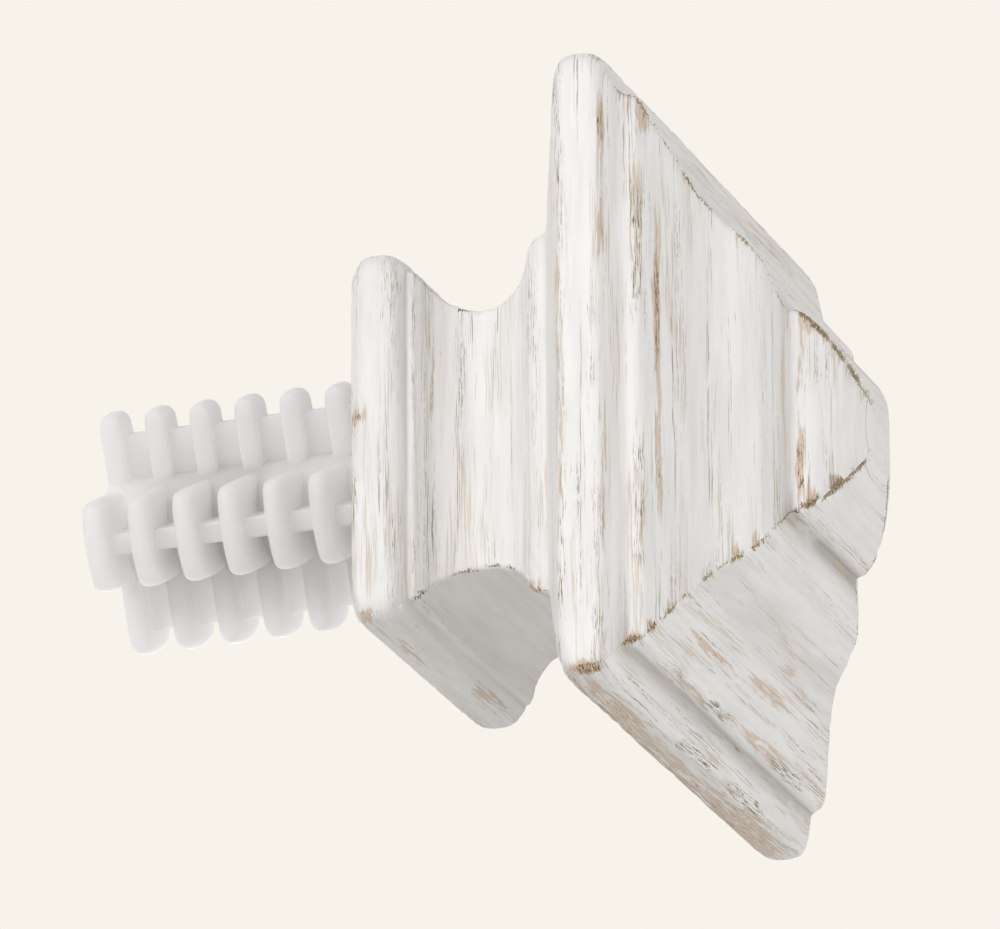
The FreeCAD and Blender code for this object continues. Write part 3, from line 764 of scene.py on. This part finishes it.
for name, (operation, first, *others) in MIXTURES.items():
    masks[name] = masks[first]
    for other in others:
        masks[name] = add_node(tree, "ShaderNodeMath", {0: masks[name], 1: masks[other]}, operation=operation)
print(len(MIXTURES), "masks from them")

# %% Colour the paint
# A Mix node has sockets for numbers, vectors and colours. These are the ones for colours.
COLOUR_A, COLOUR_B, COLOUR_OUT = 6, 7, 2
# How far the paint stands up (mm), and how much of that shows
PAINT_HEIGHT = 0.06
RELIEF_STRENGTH = 0.35
hair_colours = add_node(tree, "ShaderNodeMix", {
    0: masks["brown_tone"], COLOUR_A: linear("#5A5246"), COLOUR_B: linear("#86704C")}, data_type="RGBA")
# Over the white coat, one after another: the colour, the mask it follows, and how well it covers.
LAYERS = [
    (linear("#EAE8E6"), "wash", 1.0),
    # Grey painted shade in the creases, darkest on the lower front
    (linear("#8E8A84"), "painted_crease_shade", 0.8),
    (linear("#B59F7E"), "crease_line", 0.5),
    (linear("#CDB798"), "skips", 0.65),
    (linear("#D3BDA7"), "rub_wash", 0.8),
    (linear("#A3835A"), "rub_deep", 0.85),
    (linear("#8F8062"), "edge_wear", 0.8),
    (linear("#8A7340"), "mitre_wear", 0.85),
    (hair_colours.outputs[COLOUR_OUT], "hairs", 0.75),
    (linear("#4A3B29"), "specks", 0.85),
]
colour = linear("#F3F1EF")
for over, name, cover in LAYERS:
    amount = add_node(tree, "ShaderNodeMath", {0: masks[name], 1: cover}, operation="MULTIPLY")
    layer = add_node(tree, "ShaderNodeMix", {0: amount, COLOUR_A: colour, COLOUR_B: over}, data_type="RGBA")
    colour = layer.outputs[COLOUR_OUT]
relief = add_node(tree, "ShaderNodeBump", {
    "Height": masks["height"], "Strength": RELIEF_STRENGTH, "Distance": PAINT_HEIGHT * MM})
# Matt acrylic paint: a dull sheen with no clear highlight
surface = add_node(tree, "ShaderNodeBsdfPrincipled", {
    "Base Color": colour, "Normal": relief, "Roughness": 0.5, "IOR": 1.48})
add_node(tree, "ShaderNodeOutputMaterial", {"Surface": surface})
head.data.materials.append(paint)
print(paint.name, len(tree.nodes), "nodes")

# %% [markdown]
# ## Milky polyethylene and zinc-plated steel
# The plug is natural polyethylene straight from the mould: white, waxy and a little see-through, so light
# that enters it spreads and softens its shadows. The screw is plain steel with a bright zinc coat.

# %% Finish the plug and the screw
# How far light spreads in the plastic (mm)
LIGHT_SPREAD = 12.0
milky = bpy.data.materials.new("natural_polyethylene")
tree = empty_graph(milky)
surface = add_node(tree, "ShaderNodeBsdfPrincipled", {
    "Base Color": linear("#ECEAE9"),
    "Subsurface Weight": 1.0,
    "Subsurface Radius": (1.0, 0.98, 0.96),
    "Subsurface Scale": LIGHT_SPREAD * MM,
    "Roughness": 0.65,
    "IOR": 1.51})
add_node(tree, "ShaderNodeOutputMaterial", {"Surface": surface})
plug.data.materials.append(milky)
zinc = bpy.data.materials.new("zinc_plated_steel")
tree = empty_graph(zinc)
surface = add_node(tree, "ShaderNodeBsdfPrincipled", {
    "Base Color": linear("#C3C4C6"), "Metallic": 1.0, "Roughness": 0.32})
add_node(tree, "ShaderNodeOutputMaterial", {"Surface": surface})
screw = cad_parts["plug_screw"]
screw.data.materials.clear()
screw.data.materials.append(zinc)
print("materials:", [material.name for material in (paint, milky, zinc)])

# %% [markdown]
# ## A pale studio
# The photograph has an even, pale background and soft light from the front, with a strong return from below.
# A white floor lies well under the object, a pale world lights it from all round, and two lamps model it.
# What a ray sees need not be what lights the object: both floor and world show a pale cream to the camera.

# %% Lay the floor
FLOOR_HALF = 4.0
FLOOR_LEVEL = -1.1
scene = bpy.context.scene
scene.view_settings.view_transform = "Standard"
floor_mesh = bpy.data.meshes.new("floor")
corners = [(x * FLOOR_HALF, y * FLOOR_HALF, FLOOR_LEVEL) for x, y in ((-1, -1), (1, -1), (1, 1), (-1, 1))]
floor_mesh.from_pydata(corners, [], [(0, 1, 2, 3)])
floor = bpy.data.objects.new("floor", floor_mesh)
scene.collection.objects.link(floor)


def seen_rays(tree):
    """1 for the rays that see a surface, straight, mirrored or through glass, and 0 for those that light."""
    rays = add_node(tree, "ShaderNodeLightPath").outputs
    seen = rays["Is Camera Ray"]
    for kind in ("Is Glossy Ray", "Is Transmission Ray"):
        seen = add_node(tree, "ShaderNodeMath", {0: seen, 1: rays[kind]}, operation="MAXIMUM")
    return seen


floor_paint = bpy.data.materials.new("pale_floor_paint")
tree = empty_graph(floor_paint)
lit = add_node(tree, "ShaderNodeBsdfPrincipled", {"Base Color": linear("#F1F0EE"), "Roughness": 0.9})
pale = add_node(tree, "ShaderNodeEmission", {"Color": linear("#F1EDE4"), "Strength": 1.0})
surface = add_node(tree, "ShaderNodeMixShader", {0: seen_rays(tree), 1: lit, 2: pale})
add_node(tree, "ShaderNodeOutputMaterial", {"Surface": surface})
floor.data.materials.append(floor_paint)
print("floor at", FLOOR_LEVEL, "m")

# %% Light the world
WORLD_STRENGTH = 0.45
world = bpy.data.worlds.new("pale_studio")
scene.world = world
tree = empty_graph(world)
lighting = add_node(tree, "ShaderNodeBackground", {"Color": linear("#FFFFFF"), "Strength": WORLD_STRENGTH})
backdrop = add_node(tree, "ShaderNodeBackground", {"Color": linear("#F7F3EB"), "Strength": 1.0})
surface = add_node(tree, "ShaderNodeMixShader", {0: seen_rays(tree), 1: lighting, 2: backdrop})
add_node(tree, "ShaderNodeOutputWorld", {"Surface": surface})
print("world:", world.name)

# %% [markdown]
# ## Lamps
# A large lamp in front gives the soft light of the photograph, and a smaller one lights the tip from below.
# A third one stands behind, like the bright paper of a studio, and shows through the milky plug. Light
# linking keeps it off everything else, as a studio does with a black flag.

# %% Hang the lamps
# Each lamp: where it hangs and the side of its square (m), and its power (W).
LAMPS = {
    "front_lamp": ((-0.55, -1.59, 0.44), 1.1, 15.4),
    "tip_lamp": ((1.27, -0.42, -0.38), 1.0, 6.7),
    "back_lamp": ((-0.5, 1.2, -0.4), 1.2, 14.0),
}
lamp_aim = (cad_low + cad_high) / 2


def add_lamp(name, place, side, watts):
    """A square area lamp at a place, turned so that it looks at the middle of the object."""
    lamp = bpy.data.lights.new(name, "AREA")
    lamp.shape = "SQUARE"
    lamp.size = side
    lamp.energy = watts
    holder = bpy.data.objects.new(name, lamp)
    holder.location = place
    holder.rotation_mode = "QUATERNION"
    holder.rotation_quaternion = (lamp_aim - Vector(place)).to_track_quat("-Z", "Y")
    holder.visible_camera = False
    scene.collection.objects.link(holder)
    return holder


lamps = {name: add_lamp(name, *facts) for name, facts in LAMPS.items()}
lit_from_behind = bpy.data.collections.new("lit_from_behind")
lit_from_behind.objects.link(plug)
lamps["back_lamp"].light_linking.receiver_collection = lit_from_behind
print("lamps:", list(lamps))

# %% [markdown]
# ## The camera
# The photograph was taken from below and a little from the tip's side, through a long lens. The camera stands
# in the measured direction, and is then turned by a fraction of a degree so that the object sits where it
# does in the photograph, which needs no lens shift.

# %% Place the camera
IMAGE_WIDTH, IMAGE_HEIGHT = 1000, 929
AZIMUTH, ELEVATION, ROLL = math.radians(18.764), math.radians(-19.888), math.radians(0.691)
PIVOT = np.array([25.4, 0.0, 0.0]) * MM
PIVOT_PIXEL = np.array([657.0, 465.8])
CAMERA_DISTANCE = 1.1545
FOCAL_PIXELS = 11781.8
SENSOR_WIDTH = 36.0
NEAREST, FARTHEST = 0.01, 50.0
to_camera = np.array([
    math.sin(AZIMUTH) * math.cos(ELEVATION), -math.cos(AZIMUTH) * math.cos(ELEVATION), math.sin(ELEVATION)])
level = np.cross(-to_camera, (0, 0, 1))
level /= np.linalg.norm(level)
low = np.cross(-to_camera, level)
right = math.cos(ROLL) * level + math.sin(ROLL) * low
down = -math.sin(ROLL) * level + math.cos(ROLL) * low
off_centre = PIVOT_PIXEL - (IMAGE_WIDTH / 2, IMAGE_HEIGHT / 2)
looks = -to_camera * FOCAL_PIXELS - right * off_centre[0] - down * off_centre[1]
looks /= np.linalg.norm(looks)
right -= looks * (right @ looks)
right /= np.linalg.norm(right)
camera_data = bpy.data.cameras.new("photo_camera")
camera_data.sensor_width = SENSOR_WIDTH
camera_data.lens = FOCAL_PIXELS * SENSOR_WIDTH / IMAGE_WIDTH
camera_data.clip_start = NEAREST
camera_data.clip_end = FARTHEST
camera = bpy.data.objects.new("photo_camera", camera_data)
scene.collection.objects.link(camera)
pose = np.eye(4)
pose[:3, 0], pose[:3, 1], pose[:3, 2] = right, np.cross(-looks, right), -looks
pose[:3, 3] = PIVOT + to_camera * CAMERA_DISTANCE
camera.matrix_world = Matrix(pose.tolist())
scene.camera = camera
print("lens", round(camera_data.lens, 1), "mm")
